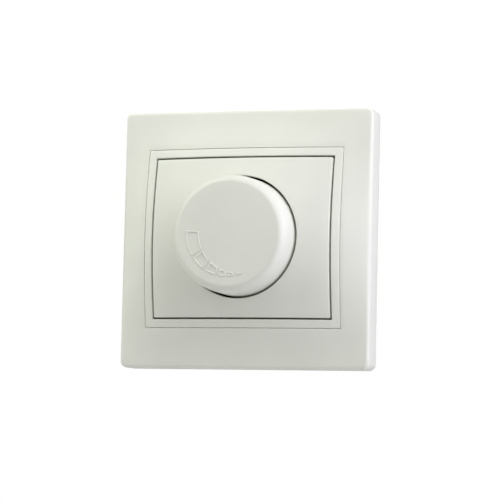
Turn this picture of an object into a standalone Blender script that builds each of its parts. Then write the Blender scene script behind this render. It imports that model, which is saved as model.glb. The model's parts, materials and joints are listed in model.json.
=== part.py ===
"""Rotary dimmer switch for flush mounting in a 60 mm round wall box.

Frame of the part: +X right and +Z up as seen from the room, -Y out of the wall towards the user.
The wall surface is the plane Y = 0, and the origin is the centre of the plate on the wall.
Sizes below are in millimetres; MM turns them into metres when a mesh is made.
"""
import math

import bmesh
import bpy
from mathutils import Matrix, Vector

MM = 0.001
GAP = 0.3                      # clearance between neighbouring pieces

# ---- decorative front --------------------------------------------------------------------
PLATE_SIDE = 81.0              # outer frame, square
EDGE_HEIGHT = 9.1              # height of the pillow surface above the wall along its rim
DOME_RISE = 10.45              # extra height of the pillow surface at its middle
DOME_POWER_X = 1.0             # how the rise fades towards the sides ...
DOME_POWER_Z = 1.75            # ... and towards top and bottom
SKIN = 2.0                     # wall thickness of the moulded front pieces
FRAME_CORNER = 2.1
FRAME_EDGE_ROUND = 1.1
OPENING_HALF = (31.8, 28.1)    # opening of the frame that holds the trim ring
TRIM_OUTER_HALF = (31.58, 27.88)
TRIM_INNER_HALF = (29.15, 25.4)
TRIM_BEVEL = 0.35
COVER_HALF = (28.6, 24.85)     # centre plate
COVER_EDGE = 0.4               # rounding of the centre plate's rim and hole
LEDGE_HALF = (27.6, 23.8)      # inner edge of the frame's ledge, on which trim and plate rest
LEDGE_FRONT = -6.0
LEDGE_THICKNESS = 1.4
HOLE_RADIUS = 19.2             # round hole of the centre plate
COLLAR_WALL = 1.5
COLLAR_REAR = -10.0
LEG_X, LEG_Z, LEG_WIDTH, LEG_THICKNESS = 22.6, 15.0, 5.0, 1.4
LEG_HOOK, LEG_HOOK_HEIGHT = 0.8, 0.5
LEG_END, LEG_TIP_TAPER = 1.9, 0.4

# ---- knob ---------------------------------------------------------------------------------
KNOB_BASE_RADIUS = 18.5
KNOB_TOP_RADIUS = 18.1
KNOB_FACE_RADIUS = 16.5
KNOB_FACE = -26.8
KNOB_REAR = -11.0
KNOB_WALL = 1.7
HUB_RADIUS = 5.6
HUB_REAR = -13.6
WEB_THICKNESS, WEB_REAR = 1.2, -19.0
BORE_FLAT = 2.7                # height of the flat in the knob's bore above the axis
MARK_RADIUS = 13.4             # outer radius of the raised crescent scale
MARK_INNER_CENTRE = (3.19, 0.24)  # x and z of the circle that bounds the crescent inside
MARK_INNER_RADIUS = 12.27
MARK_LINE = 0.45
MARK_HEIGHT = 0.25
MARK_SPANS = ((176, 212), (215, 236), (239, 255), (258, 269), (272, 280))
MARK_DASH = (284, 292)

# ---- strap, claws and mechanism case --------------------------------------------------------
STRAP_SIDE = 71.0
STRAP_FRONT, STRAP_REAR = -1.3, -0.3
STRAP_CHAMFER = 7.0
STRAP_OPENING_HALF, STRAP_OPENING_CHAMFER = (18.0, 20.0), 9.0
FIXING_SPACING = 60.0          # between the slots for the wall box screws
FIXING_SLOT = (11.0, 4.2)      # length and width
SCREW_CLEARANCE = 1.8          # radius of the clearance holes
LUG_X, LUG_Z, LUG_REAR = (21.2, 24.0), (4.5, 5.5), 3.4
PAD_X, PAD_Z = (29.0, 33.0), (21.0, 27.0)
CASE_HALF = (20.5, 23.0)
CASE_CHAMFER = 6.0
CASE_WALL = 1.5
COVER_FRONT = -9.0
BASE_REAR = 23.5
CASE_SCREW = (15.6, 17.6)
SCREW_BOSS_END = 10.2
TERMINAL_BAY_TOP = 10.0
CLAW_PIVOT = (22.6, 2.0)       # x and y of the claw's trunnions
CLAW_TILT = math.radians(25.0)
CLAW_THICKNESS, CLAW_WIDTH = 1.0, 8.2
CLAW_PIN_RADIUS, CLAW_PIN_REACH = 0.8, 5.9
CLAW_SCREW_X, CLAW_SCREW_RADIUS = 25.6, 1.45
BOARD = (5.0, 6.6)             # front and rear face of the circuit board
BOARD_CHAMFER = 11.5
SHAFT_RADIUS = 3.0
SHAFT_FLAT = 1.6               # height of the shaft's flat above the axis
BUSHING_RADIUS = 4.5
TERMINAL_X = (-9.0, 0.0, 9.0)
TERMINAL_Y = 16.5
TERMINAL_SCREW_RADIUS = 1.25
TERMINAL_BLOCK_Z = (-21.2, -7.2)
WIRE_ENTRY_HALF, WIRE_ENTRY_Z = 1.7, (-12.6, -9.0)
KNOB_SEGMENTS = 56
ROUND = 28                     # segments of a middling round piece
SMALL_ROUND = 12
CORNER_STEPS = 4
SIDE_STEPS = 8

MATERIALS = {
    "ivory_plastic": ((0.80, 0.80, 0.75), 0.42, 0.0),
    "knob_plastic": ((0.82, 0.82, 0.77), 0.40, 0.0),
    "dark_plastic": ((0.035, 0.035, 0.038), 0.55, 0.0),
    "zinc_steel": ((0.62, 0.63, 0.64), 0.38, 1.0),
    "yellow_zinc": ((0.72, 0.62, 0.40), 0.35, 1.0),
    "spring_steel": ((0.45, 0.45, 0.46), 0.30, 1.0),
    "brass": ((0.78, 0.60, 0.28), 0.32, 1.0),
    "aluminium": ((0.75, 0.76, 0.77), 0.40, 1.0),
    "board_laminate": ((0.36, 0.25, 0.10), 0.55, 0.0),
    "epoxy_black": ((0.02, 0.02, 0.02), 0.45, 0.0),
    "ferrite": ((0.07, 0.07, 0.075), 0.65, 0.0),
    "copper_wire": ((0.72, 0.30, 0.12), 0.28, 1.0),
    "film_yellow": ((0.80, 0.62, 0.12), 0.45, 0.0),
    "film_red": ((0.45, 0.10, 0.06), 0.45, 0.0),
    "resistor_body": ((0.72, 0.58, 0.38), 0.50, 0.0),
    "glass": ((0.85, 0.90, 0.90), 0.05, 0.0),
    "terminal_grey": ((0.30, 0.31, 0.32), 0.50, 0.0),
    "phenolic": ((0.30, 0.16, 0.06), 0.55, 0.0),
}


# ---- helpers --------------------------------------------------------------------------------
def clear_scene():
    for item in list(bpy.data.objects):
        bpy.data.objects.remove(item)


def material(slot):
    """The Principled material of a slot, made once for each piece that asks for it."""
    colour, roughness, metallic = MATERIALS[slot]
    made = bpy.data.materials.new(slot)
    made.use_nodes = True
    shader = made.node_tree.nodes["Principled BSDF"]
    shader.inputs["Base Color"].default_value = (*colour, 1.0)
    shader.inputs["Roughness"].default_value = roughness
    shader.inputs["Metallic"].default_value = metallic
    return made


def finish_mesh(name, shape, slot):
    """Turn a bmesh in millimetres into a shaded object in metres."""
    bmesh.ops.recalc_face_normals(shape, faces=shape.faces)
    bmesh.ops.scale(shape, vec=(MM, MM, MM), verts=shape.verts)
    mesh = bpy.data.meshes.new(name)
    shape.to_mesh(mesh)
    shape.free()
    mesh.shade_smooth()
    mesh.set_sharp_from_angle(angle=math.radians(32.0))
    piece = bpy.data.objects.new(name, mesh)
    bpy.context.scene.collection.objects.link(piece)
    mesh.materials.append(material(slot))
    return piece


def combine(piece, other, operation):
    """Boolean the other object into the piece, and drop the other."""
    step = piece.modifiers.new(operation.lower(), "BOOLEAN")
    step.operation = operation
    step.object = other
    graph = bpy.context.evaluated_depsgraph_get()
    result = bpy.data.meshes.new_from_object(piece.evaluated_get(graph))
    piece.modifiers.remove(step)
    result.materials.clear()
    result.materials.append(piece.data.materials[0])
    piece.data = result
    bpy.data.objects.remove(other)
    return piece


def cut(piece, *others):
    for other in others:
        combine(piece, other, "DIFFERENCE")
    return piece


def join(piece, *others):
    for other in others:
        combine(piece, other, "UNION")
    return piece


def set_origin(piece, x, y, z):
    """Move the object's origin to a point in millimetres and leave its shape where it is."""
    point = Vector((x, y, z)) * MM
    piece.data.transform(Matrix.Translation(-point))
    piece.location = point
    return piece


def around(middle, half):
    """The (low, high) pair that reaches half to either side of the middle."""
    return (middle - half, middle + half)


def on_side(side, near, far):
    """The (low, high) pair between two distances from the middle, on side -1 or 1."""
    return sorted((side * near, side * far))


def box(name, x, y, z, slot, bevel=0.0):
    """A block from three (low, high) pairs, with bevelled edges where asked."""
    shape = bmesh.new()
    bmesh.ops.create_cube(shape, size=1.0)
    for vert in shape.verts:
        vert.co = Vector((x[0] + (vert.co.x + 0.5) * (x[1] - x[0]),
                          y[0] + (vert.co.y + 0.5) * (y[1] - y[0]),
                          z[0] + (vert.co.z + 0.5) * (z[1] - z[0])))
    if bevel:
        bmesh.ops.bevel(shape, geom=shape.edges, offset=bevel, segments=2, profile=0.5,
                        affect="EDGES")
    return finish_mesh(name, shape, slot)


def skin_loops(name, loops, slot, closed=True):
    """Join point loops of equal length by quads; closed joins the last loop to the first."""
    shape = bmesh.new()
    rows = [[shape.verts.new(point) for point in loop] for loop in loops]
    count = len(rows[0])
    pairs = list(zip(rows, rows[1:]))
    if closed:
        pairs.append((rows[-1], rows[0]))
    for near, far in pairs:
        for i in range(count):
            j = (i + 1) % count
            shape.faces.new((near[i], near[j], far[j], far[i]))
    if not closed:
        shape.faces.new(rows[0])
        shape.faces.new(list(reversed(rows[-1])))
    return finish_mesh(name, shape, slot)


AXIS_TURN = {"Y": Matrix.Rotation(math.radians(-90.0), 3, "X"), "Z": Matrix.Identity(3)}


def turned(name, profile, slot, axis="Y", at=(0.0, 0.0), segments=ROUND):
    """Turn a profile of (radius, position along the axis) points about an axis.

    at holds the axis's x and z when it runs along Y, or its x and y when it runs along Z. A
    profile that starts and ends at radius 0 is solid; any other is a closed ring.
    """
    place = {"Y": Vector((at[0], 0.0, at[1])), "Z": Vector((*at, 0.0))}
    turn, shift = AXIS_TURN[axis], place[axis]
    solid = profile[0][0] == 0.0
    shape = bmesh.new()
    rows = []
    for radius, along in profile[1:-1] if solid else profile:
        ring = []
        for i in range(segments):
            angle = 2.0 * math.pi * i / segments
            local = Vector((radius * math.cos(angle), radius * math.sin(angle), along))
            ring.append(shape.verts.new(turn @ local + shift))
        rows.append(ring)
    pairs = list(zip(rows, rows[1:]))
    if not solid:
        pairs.append((rows[-1], rows[0]))
    for near, far in pairs:
        for i in range(segments):
            j = (i + 1) % segments
            shape.faces.new((near[i], near[j], far[j], far[i]))
    if solid:
        shape.faces.new(rows[0])
        shape.faces.new(rows[-1])
    return finish_mesh(name, shape, slot)


def rod(name, radius, span, slot, axis="Y", at=(0.0, 0.0), segments=SMALL_ROUND):
    low, high = span
    profile = [(0.0, low), (radius, low), (radius, high), (0.0, high)]
    return turned(name, profile, slot, axis, at, segments)


def hexagon_nut(name, flats, bore, span, slot, axis="Y", at=(0.0, 0.0)):
    corner = flats / 2.0 / math.cos(math.radians(30.0))
    nut = rod(name, corner, span, slot, axis, at, segments=6)
    through = rod("bore", bore, (span[0] - 1.0, span[1] + 1.0), slot, axis, at)
    return cut(nut, through)


def prism(name, outline, y, slot):
    """Extrude an outline of (x, z) points between two depths."""
    loops = [[(px, depth, pz) for px, pz in outline] for depth in y]
    return skin_loops(name, loops, slot, closed=False)


def prism_z(name, outline, z, slot):
    """Extrude an outline of (x, y) points between two heights."""
    loops = [[(px, py, height) for px, py in outline] for height in z]
    return skin_loops(name, loops, slot, closed=False)


def chamfered(half_x, half_z, chamfer):
    """Outline of a rectangle with its corners cut off."""
    return [(half_x, -half_z + chamfer), (half_x, half_z - chamfer),
            (half_x - chamfer, half_z), (chamfer - half_x, half_z),
            (-half_x, half_z - chamfer), (-half_x, chamfer - half_z),
            (chamfer - half_x, -half_z), (half_x - chamfer, -half_z)]


def strip(points, thickness):
    """Outline of a bent strip of constant thickness along a line of (x, y) points."""
    sides = ([], [])
    for i, point in enumerate(points):
        here = Vector(point)
        before = (here - Vector(points[i - 1])).normalized() if i else None
        after = (Vector(points[i + 1]) - here).normalized() if i + 1 < len(points) else None
        along = ((before or after) + (after or before)).normalized()
        across = Vector((-along.y, along.x))
        reach = thickness / 2.0 / max(0.5, across.dot(Vector((-(after or before).y,
                                                              (after or before).x))))
        sides[0].append(tuple(here + across * reach))
        sides[1].append(tuple(here - across * reach))
    return sides[0] + sides[1][::-1]


# ---- the pillow surface and the pieces that share it ------------------------------------------
def dome(x, z):
    """Height of the front surface above the wall."""
    across = max(0.0, 1.0 - (2.0 * x / PLATE_SIDE) ** 2)
    along = max(0.0, 1.0 - (2.0 * z / PLATE_SIDE) ** 2)
    return EDGE_HEIGHT + DOME_RISE * across ** DOME_POWER_X * along ** DOME_POWER_Z


def rectangle_loop(half_x, half_z, corner):
    """Points around a rectangle with round corners, anticlockwise from the right side's middle."""
    points = []
    for quarter in range(4):
        start = math.pi / 2.0 * quarter
        centre_x = (half_x - corner) * (1 if quarter in (0, 3) else -1)
        centre_z = (half_z - corner) * (1 if quarter in (0, 1) else -1)
        for step in range(CORNER_STEPS + 1):
            angle = start + math.pi / 2.0 * step / CORNER_STEPS
            points.append((centre_x + corner * math.cos(angle), centre_z + corner * math.sin(angle)))
        following = quarter + 1
        next_x = (half_x - corner) * (1 if following in (0, 3, 4) else -1)
        next_z = (half_z - corner) * (1 if following in (0, 1, 4) else -1)
        end_angle = start + math.pi / 2.0
        last = (next_x + corner * math.cos(end_angle), next_z + corner * math.sin(end_angle))
        first = points[-1]
        for step in range(1, SIDE_STEPS):
            t = step / SIDE_STEPS
            points.append((first[0] + (last[0] - first[0]) * t, first[1] + (last[1] - first[1]) * t))
    return points


def on_dome(loop, below=0.0):
    return [(x, below - dome(x, z), z) for x, z in loop]


def at_depth(loop, y):
    return [(x, y, z) for x, z in loop]


def between(near, far, t):
    return [(a[0] + (b[0] - a[0]) * t, a[1] + (b[1] - a[1]) * t) for a, b in zip(near, far)]


def make_outer_frame():
    half = PLATE_SIDE / 2.0
    opening_corner, inside_corner, lip = 0.4, 1.2, 0.4
    outer = rectangle_loop(half, half, FRAME_CORNER)
    opening = rectangle_loop(*OPENING_HALF, opening_corner)
    ledge = rectangle_loop(*LEDGE_HALF, opening_corner)
    inside_wall = rectangle_loop(half - SKIN, half - SKIN, inside_corner)
    behind_opening = rectangle_loop(OPENING_HALF[0] + SKIN - lip, OPENING_HALF[1] + SKIN - lip,
                                    2.0 * opening_corner)
    loops = [at_depth(outer, 0.0)]
    for angle in (0.0, 30.0, 60.0, 90.0):
        turn = math.radians(angle)
        inset = FRAME_EDGE_ROUND * (1.0 - math.cos(turn))
        drop = FRAME_EDGE_ROUND * (1.0 - math.sin(turn))
        loop = rectangle_loop(half - inset, half - inset, FRAME_CORNER - inset)
        loops.append(on_dome(loop, drop))
    shoulder = rectangle_loop(half - FRAME_EDGE_ROUND, half - FRAME_EDGE_ROUND,
                              FRAME_CORNER - FRAME_EDGE_ROUND)
    loops += [on_dome(between(shoulder, opening, t)) for t in (0.5, 1.0)]
    loops.append(at_depth(opening, LEDGE_FRONT))
    loops.append(at_depth(ledge, LEDGE_FRONT))
    loops.append(at_depth(ledge, LEDGE_FRONT + LEDGE_THICKNESS))
    loops.append(at_depth(behind_opening, LEDGE_FRONT + LEDGE_THICKNESS))
    loops.append(on_dome(behind_opening, SKIN))
    loops.append(on_dome(inside_wall, SKIN))
    loops.append(at_depth(inside_wall, 0.0))
    return skin_loops("outer_frame", loops, "ivory_plastic")


def make_insert_trim():
    edge_share = 0.15
    outer = rectangle_loop(*TRIM_OUTER_HALF, 0.3)
    inner = rectangle_loop(*TRIM_INNER_HALF, 0.2)
    rear = LEDGE_FRONT - GAP
    loops = [at_depth(outer, rear), on_dome(outer, TRIM_BEVEL),
             on_dome(between(outer, inner, edge_share)),
             on_dome(between(outer, inner, 1.0 - edge_share)), on_dome(inner, TRIM_BEVEL),
             at_depth(inner, rear)]
    return skin_loops("insert_trim", loops, "ivory_plastic")


def circle_facing(loop, radius):
    """The points of a circle that lie in the same directions as those of a loop."""
    return [(radius * x / math.hypot(x, z), radius * z / math.hypot(x, z)) for x, z in loop]


def make_snap_leg(side_x, side_z):
    """Leg of the centre plate that reaches through the strap and hooks behind it."""
    inner, outer = LEG_X - LEG_THICKNESS / 2.0, LEG_X + LEG_THICKNESS / 2.0
    z_span = on_side(side_z, LEG_Z - LEG_WIDTH / 2.0, LEG_Z + LEG_WIDTH / 2.0)
    front = SKIN / 2.0 - dome(outer, LEG_Z + LEG_WIDTH / 2.0)
    outline = [(inner, front), (outer, front), (outer, 0.0), (outer + LEG_HOOK, 0.0),
               (outer + LEG_HOOK, LEG_HOOK_HEIGHT), (outer - LEG_TIP_TAPER, LEG_END),
               (inner, LEG_END)]
    return prism_z("leg", [(side_x * x, y) for x, y in outline], z_span, "ivory_plastic")


def make_centre_plate():
    rim = rectangle_loop(*COVER_HALF, COVER_EDGE)
    edge = rectangle_loop(COVER_HALF[0] - COVER_EDGE, COVER_HALF[1] - COVER_EDGE, 0.3)
    hole = circle_facing(rim, HOLE_RADIUS)
    hole_edge = circle_facing(rim, HOLE_RADIUS + COVER_EDGE)
    collar = circle_facing(rim, HOLE_RADIUS + COLLAR_WALL)
    skirt = rectangle_loop(COVER_HALF[0] - COLLAR_WALL, COVER_HALF[1] - COLLAR_WALL, 0.3)
    rear = LEDGE_FRONT - GAP
    loops = [at_depth(rim, rear), on_dome(rim, COVER_EDGE), on_dome(edge)]
    loops += [on_dome(between(edge, hole_edge, t)) for t in (0.25, 0.5, 0.75, 1.0)]
    loops += [on_dome(hole, COVER_EDGE), at_depth(hole, COLLAR_REAR), at_depth(collar, COLLAR_REAR),
              on_dome(collar, SKIN)]
    loops += [on_dome(between(collar, skirt, t), SKIN) for t in (0.5, 1.0)]
    loops.append(at_depth(skirt, rear))
    plate = skin_loops("centre_plate", loops, "ivory_plastic")
    for side_x in (-1, 1):
        for side_z in (-1, 1):
            join(plate, make_snap_leg(side_x, side_z))
    return plate


# ---- knob --------------------------------------------------------------------------------------
def crescent_reach(angle):
    """Distance from the knob's axis to the crescent's inner circle, at an angle in radians."""
    x, z = MARK_INNER_CENTRE
    along = x * math.cos(angle) + z * math.sin(angle)
    return along + math.sqrt(along ** 2 + MARK_INNER_RADIUS ** 2 - x ** 2 - z ** 2)


def field_loop(start, end, line=0.0, steps=4):
    """Points around one field of the crescent, drawn in by the line width; angles in degrees."""
    margin = math.degrees(line / MARK_RADIUS)
    angles = [math.radians(start + margin + (end - start - 2.0 * margin) * i / steps)
              for i in range(steps + 1)]
    far = [(MARK_RADIUS - line, a) for a in angles]
    near = [(crescent_reach(a) + line, a) for a in reversed(angles)]
    return [(radius * math.cos(a), radius * math.sin(a)) for radius, a in far + near]


def make_mark(start, end):
    """Raised outline of one field of the crescent scale."""
    outside = field_loop(start, end)
    inside = field_loop(start, end, MARK_LINE)
    front, root = KNOB_FACE - MARK_HEIGHT, KNOB_FACE + MARK_HEIGHT
    loops = [at_depth(outside, front), at_depth(inside, front), at_depth(inside, root),
             at_depth(outside, root)]
    return skin_loops("mark", loops, "knob_plastic")


def make_knob_shell():
    """Turned cap of the knob, with the hub that takes the shaft."""
    fillet = KNOB_TOP_RADIUS - KNOB_FACE_RADIUS
    corner, draft = 0.6, 0.2
    outside = [(KNOB_BASE_RADIUS, KNOB_REAR), (KNOB_TOP_RADIUS, KNOB_FACE + fillet)]
    for angle in (30.0, 60.0, 90.0):
        turn = math.radians(angle)
        outside.append((KNOB_FACE_RADIUS + fillet * math.cos(turn),
                        KNOB_FACE + fillet * (1.0 - math.sin(turn))))
    wall = KNOB_TOP_RADIUS - KNOB_WALL
    under_face = KNOB_FACE + KNOB_WALL
    inside = [(0.0, HUB_REAR), (HUB_RADIUS, HUB_REAR), (HUB_RADIUS, under_face),
              (wall - corner, under_face), (wall, under_face + corner), (wall + draft, KNOB_REAR)]
    return turned("dimmer_knob", inside + outside + [(0.0, KNOB_FACE)], "knob_plastic",
                  segments=KNOB_SEGMENTS)


def make_dimmer_knob():
    knob = make_knob_shell()
    web_y = (KNOB_FACE + KNOB_WALL / 2.0, WEB_REAR)
    reach = around(0.0, KNOB_TOP_RADIUS - KNOB_WALL + 0.5)
    thickness = around(0.0, WEB_THICKNESS / 2.0)
    join(knob, box("web", reach, web_y, thickness, "knob_plastic"),
         box("web", thickness, web_y, reach, "knob_plastic"))
    bore_y = (KNOB_FACE + KNOB_WALL + 1.2, HUB_REAR + 1.0)
    bore = rod("bore", SHAFT_RADIUS + GAP, bore_y, "knob_plastic", segments=ROUND)
    flat = box("flat", around(0.0, 5.0), (bore_y[0] - 1.0, bore_y[1] + 1.0), (BORE_FLAT, 6.0),
               "knob_plastic")
    cut(knob, cut(bore, flat))
    for start, end in MARK_SPANS:
        join(knob, make_mark(start, end))
    dash_y = around(KNOB_FACE, MARK_HEIGHT)
    return join(knob, prism("dash", field_loop(*MARK_DASH), dash_y, "knob_plastic"))


def make_knob_spring():
    """Bowed leaf between the flat of the shaft and the flat of the knob's bore."""
    front, rear, bow = -22.6, -13.9, 1.6
    low, high = 1.98, 2.2
    middle = -18.2
    line = [(front, low), (front + bow, high), (middle, high), (rear - 1.5, high), (rear, low)]
    outline = strip(line, 0.25)
    loops = [[(x, y, z) for y, z in outline] for x in around(0.0, 1.2)]
    return skin_loops("knob_spring", loops, "spring_steel", closed=False)


# ---- strap and claws ------------------------------------------------------------------------------
def slot_outline(centre_x, centre_z, length, width, steps=6):
    """Outline of a slot with round ends that runs along X."""
    radius, reach = width / 2.0, (length - width) / 2.0
    points = []
    for side in (1, -1):
        for i in range(steps + 1):
            angle = side * math.pi / 2.0 - side * math.pi * i / steps
            points.append((centre_x + side * (reach + radius * math.cos(angle)),
                           centre_z + radius * math.sin(angle)))
    return points


def add_strap_corner(strap, side_x, side_z, deep):
    """One quarter of the strap's details: screw hole, leg window, claw lug and bearing pad."""
    clearance = 0.4
    cut(strap, rod("hole", SCREW_CLEARANCE, deep, "zinc_steel",
                   at=(side_x * CASE_SCREW[0], side_z * CASE_SCREW[1])))
    window_x = on_side(side_x, LEG_X - LEG_THICKNESS / 2.0 - clearance,
                       LEG_X + LEG_THICKNESS / 2.0 + LEG_HOOK + clearance)
    window_z = on_side(side_z, LEG_Z - LEG_WIDTH / 2.0 - clearance,
                       LEG_Z + LEG_WIDTH / 2.0 + clearance)
    cut(strap, box("window", window_x, deep, window_z, "zinc_steel"))
    lug_z = on_side(side_z, *LUG_Z)
    lug = box("lug", on_side(side_x, *LUG_X), (STRAP_FRONT + 0.5, LUG_REAR), lug_z, "zinc_steel")
    cut(lug, rod("hole", CLAW_PIN_RADIUS + GAP, (lug_z[0] - 1.0, lug_z[1] + 1.0), "zinc_steel",
                 axis="Z", at=(side_x * CLAW_PIVOT[0], CLAW_PIVOT[1])))
    pad = box("pad", on_side(side_x, *PAD_X), (STRAP_REAR - 0.4, 0.0), on_side(side_z, *PAD_Z),
              "zinc_steel")
    join(strap, lug, pad)


def make_mounting_strap():
    half = STRAP_SIDE / 2.0
    strap = prism("mounting_strap", chamfered(half, half, STRAP_CHAMFER),
                  (STRAP_FRONT, STRAP_REAR), "zinc_steel")
    deep = (STRAP_FRONT - 1.0, STRAP_REAR + 1.0)
    cut(strap, prism("opening", chamfered(*STRAP_OPENING_HALF, STRAP_OPENING_CHAMFER), deep,
                     "zinc_steel"))
    for side in (-1, 1):
        fixing = slot_outline(0.0, side * FIXING_SPACING / 2.0, *FIXING_SLOT)
        cut(strap, prism("slot", fixing, deep, "zinc_steel"))
        cut(strap, rod("hole", SCREW_CLEARANCE, deep, "zinc_steel", at=(side * CLAW_SCREW_X, 0.0)))
        for side_z in (-1, 1):
            add_strap_corner(strap, side, side_z, deep)
    return strap


def make_claw(name, side):
    """Spreading claw: a tilted foot with a slot for its screw, and an arm with a bent tip."""
    pivot_x, pivot_y = CLAW_PIVOT
    slope = math.tan(CLAW_TILT)
    heel, foot, arm_end, tip_out, tip_end = 0.9, 6.1, 18.6, 0.8, 20.4
    line = [(pivot_x - heel, pivot_y - heel * slope), (pivot_x + foot, pivot_y + foot * slope),
            (pivot_x + foot, arm_end), (pivot_x + foot + tip_out, tip_end)]
    claw = prism_z(name, [(side * x, y) for x, y in strip(line, CLAW_THICKNESS)],
                   around(0.0, CLAW_WIDTH / 2.0), "yellow_zinc")
    join(claw, rod("pin", CLAW_PIN_RADIUS, around(0.0, CLAW_PIN_REACH), "yellow_zinc", axis="Z",
                   at=(side * pivot_x, pivot_y)))
    slot_x = on_side(side, pivot_x + 0.85, pivot_x + 5.0)
    slot_z = around(0.0, CLAW_SCREW_RADIUS + 0.35)
    cut(claw, box("slot", slot_x, (pivot_y - 1.0, pivot_y + 3.6), slot_z, "yellow_zinc"))
    notch_x = on_side(side, pivot_x + 5.0, pivot_x + 9.0)
    cut(claw, box("notch", notch_x, (arm_end - 1.0, tip_end + 1.6), around(0.0, 1.6),
                  "yellow_zinc"))
    return set_origin(claw, side * pivot_x, pivot_y, 0.0)


def cross_cutters(at, depth, length, width, slot):
    """Two crossed blades that sink a cross recess into a screw head facing -Y."""
    x, z = at
    return (box("drive", around(x, length / 2.0), depth, around(z, width / 2.0), slot),
            box("drive", around(x, width / 2.0), depth, around(z, length / 2.0), slot))


def make_claw_screw(name, side):
    x = side * CLAW_SCREW_X
    seat = STRAP_FRONT - GAP
    head_radius, head_height, crown, tip = 2.8, 1.9, 0.6, 0.6
    front, end = seat - head_height, 13.5
    profile = [(0.0, front), (head_radius - crown, front), (head_radius, front + crown),
               (head_radius, seat), (CLAW_SCREW_RADIUS, seat), (CLAW_SCREW_RADIUS, end - tip),
               (0.9, end), (0.0, end)]
    screw = turned(name, profile, "yellow_zinc", at=(x, 0.0), segments=SMALL_ROUND)
    cut(screw, *cross_cutters((x, 0.0), (seat - 2.5, seat - 0.9), 3.4, 0.8, "yellow_zinc"))
    return set_origin(screw, x, 0.0, 0.0)


def make_claw_nut(name, side):
    x = side * CLAW_SCREW_X
    front, thickness, half_x, half_z = 5.08, 2.2, 2.0, 2.8
    nut = box(name, around(x, half_x), (front, front + thickness), around(0.0, half_z),
              "yellow_zinc")
    cut(nut, rod("bore", CLAW_SCREW_RADIUS + GAP, (front - 1.0, front + thickness + 1.0),
                 "yellow_zinc", at=(x, 0.0)))
    return set_origin(nut, x, front, 0.0)


# ---- mechanism case ----------------------------------------------------------------------------------
def make_housing_cover():
    rear = STRAP_FRONT - GAP
    well_radius, well_floor, hollow_chamfer = 3.0, -4.0, 13.0
    cover = prism("housing_cover", chamfered(*CASE_HALF, CASE_CHAMFER), (COVER_FRONT, rear),
                  "dark_plastic")
    hollow = chamfered(CASE_HALF[0] - CASE_WALL, CASE_HALF[1] - CASE_WALL, hollow_chamfer)
    cut(cover, prism("hollow", hollow, (COVER_FRONT + CASE_WALL, rear + 1.0), "dark_plastic"))
    cut(cover, rod("hole", BUSHING_RADIUS + GAP, (COVER_FRONT - 1.0, COVER_FRONT + 3.0),
                   "dark_plastic", segments=ROUND))
    for side_x in (-1, 1):
        for side_z in (-1, 1):
            at = (side_x * CASE_SCREW[0], side_z * CASE_SCREW[1])
            profile = [(0.0, COVER_FRONT - 1.0), (well_radius, COVER_FRONT - 1.0),
                       (well_radius, well_floor), (SCREW_CLEARANCE, well_floor),
                       (SCREW_CLEARANCE, 0.0), (0.0, 0.0)]
            cut(cover, turned("well", profile, "dark_plastic", at=at, segments=SMALL_ROUND))
    return cover


def terminal_bay_outline():
    """Room for the terminals: the full width between the case walls, down to its lower corners."""
    half_x, depth = CASE_HALF[0] - CASE_WALL, CASE_HALF[1] - CASE_WALL
    low_corner = CASE_HALF[0] + CASE_HALF[1] - CASE_CHAMFER - CASE_WALL * math.sqrt(2.0)
    return [(half_x, -TERMINAL_BAY_TOP), (half_x, half_x - low_corner),
            (low_corner - depth, -depth), (depth - low_corner, -depth),
            (-half_x, half_x - low_corner), (-half_x, -TERMINAL_BAY_TOP)]


def make_housing_base():
    front, floor = STRAP_REAR + GAP, BASE_REAR - CASE_WALL
    hollow_chamfer, screw_bore = 11.0, 1.7
    base = prism("housing_base", chamfered(*CASE_HALF, CASE_CHAMFER), (front, BASE_REAR),
                 "dark_plastic")
    hollow = chamfered(CASE_HALF[0] - CASE_WALL, CASE_HALF[1] - CASE_WALL, hollow_chamfer)
    cut(base, prism("hollow", hollow, (front - 1.0, floor), "dark_plastic"),
        prism("bay", terminal_bay_outline(), (SCREW_BOSS_END, floor), "dark_plastic"))
    for side_x in (-1, 1):
        for side_z in (-1, 1):
            at = (side_x * CASE_SCREW[0], side_z * CASE_SCREW[1])
            cut(base, rod("bore", screw_bore, (front - 1.0, SCREW_BOSS_END - 0.8), "dark_plastic",
                          at=at))
    for x in TERMINAL_X:
        cut(base, box("wire_entry", around(x, WIRE_ENTRY_HALF), (floor - 1.5, BASE_REAR + 1.0),
                      WIRE_ENTRY_Z, "dark_plastic"))
        cut(base, rod("driver_hole", 2.4, around(-CASE_HALF[1] + 1.0, 2.0), "dark_plastic",
                      axis="Z", at=(x, TERMINAL_Y)))
    return base


def make_cover_screw(name, at):
    head_radius, shank_radius, crown = 2.6, 1.35, 0.5
    front, seat, end, point = -6.2, -4.3, 8.6, 1.2
    profile = [(0.0, front), (head_radius - crown, front), (head_radius, front + crown),
               (head_radius, seat), (shank_radius, seat), (shank_radius, end - point), (0.4, end),
               (0.0, end)]
    screw = turned(name, profile, "zinc_steel", at=at, segments=SMALL_ROUND)
    return cut(screw, *cross_cutters(at, (front - 0.8, front + 1.0), 3.2, 0.7, "zinc_steel"))


# ---- potentiometer with its off switch ------------------------------------------------------------------
def make_pot_bushing():
    """Threaded neck that comes through the case, with the collar that clamps the can."""
    bore, collar_radius = SHAFT_RADIUS + GAP, 6.5
    front, thread_front, thread_end, rear = -13.0, -12.2, -7.5, -5.4
    crest, valley, pitch, turns = BUSHING_RADIUS, BUSHING_RADIUS - 0.3, 1.0, 4
    profile = [(bore, front), (crest - 0.4, front), (crest, front + 0.4)]
    for turn in range(turns):
        start = thread_front + pitch * turn
        profile += [(crest, start), (valley, start + pitch / 2.0)]
    profile += [(crest, thread_end), (crest, rear - 1.0), (collar_radius, rear - 1.0),
                (collar_radius, rear), (bore, rear)]
    return turned("pot_bushing", profile, "brass")


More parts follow.
